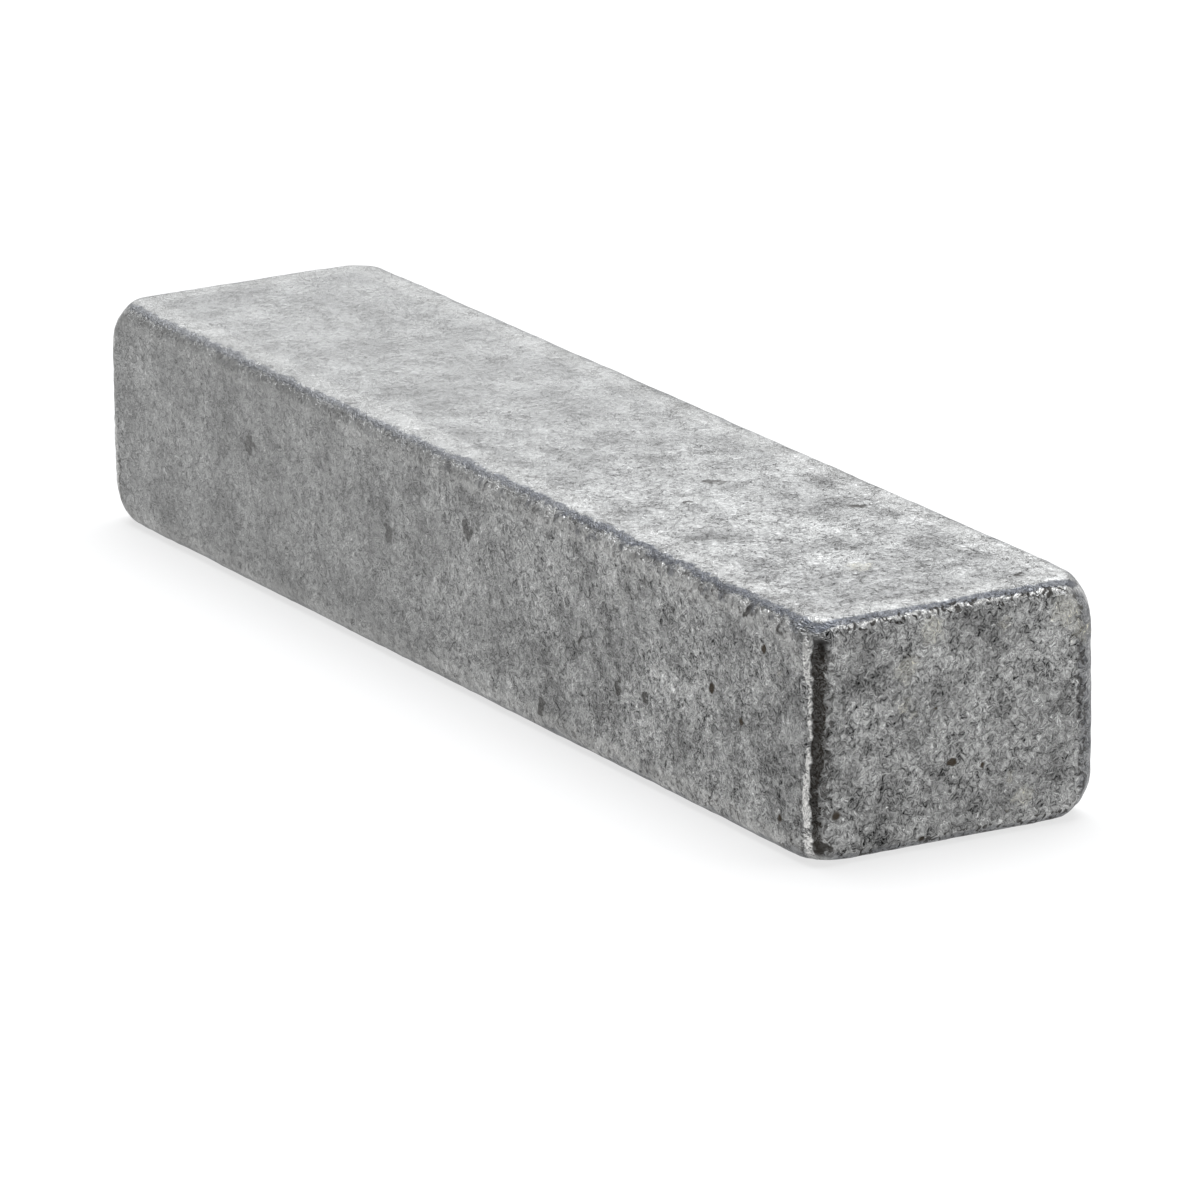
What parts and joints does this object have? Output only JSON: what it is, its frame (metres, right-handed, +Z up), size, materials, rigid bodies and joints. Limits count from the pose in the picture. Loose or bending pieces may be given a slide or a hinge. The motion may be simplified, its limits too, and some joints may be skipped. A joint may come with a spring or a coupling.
{
  "type": "parallel key",
  "caption": "Square-ended rectangular parallel key with softly rounded edges and domed corners, which locks a hub to a shaft against turning.",
  "frame": {"origin": "middle of the bottom face, which seats in the shaft", "axes": "+X along the key's length, +Y across its width from flank to flank, +Z up through its height"},
  "size_m": [0.0286, 0.0064, 0.0048],
  "materials": {
    "key_steel": "bare key steel with a dull, finely mottled barrel-tumbled grey surface"
  },
  "bodies": {
    "root": {"parallel_key": "key_steel"}
  },
  "joints": []
}
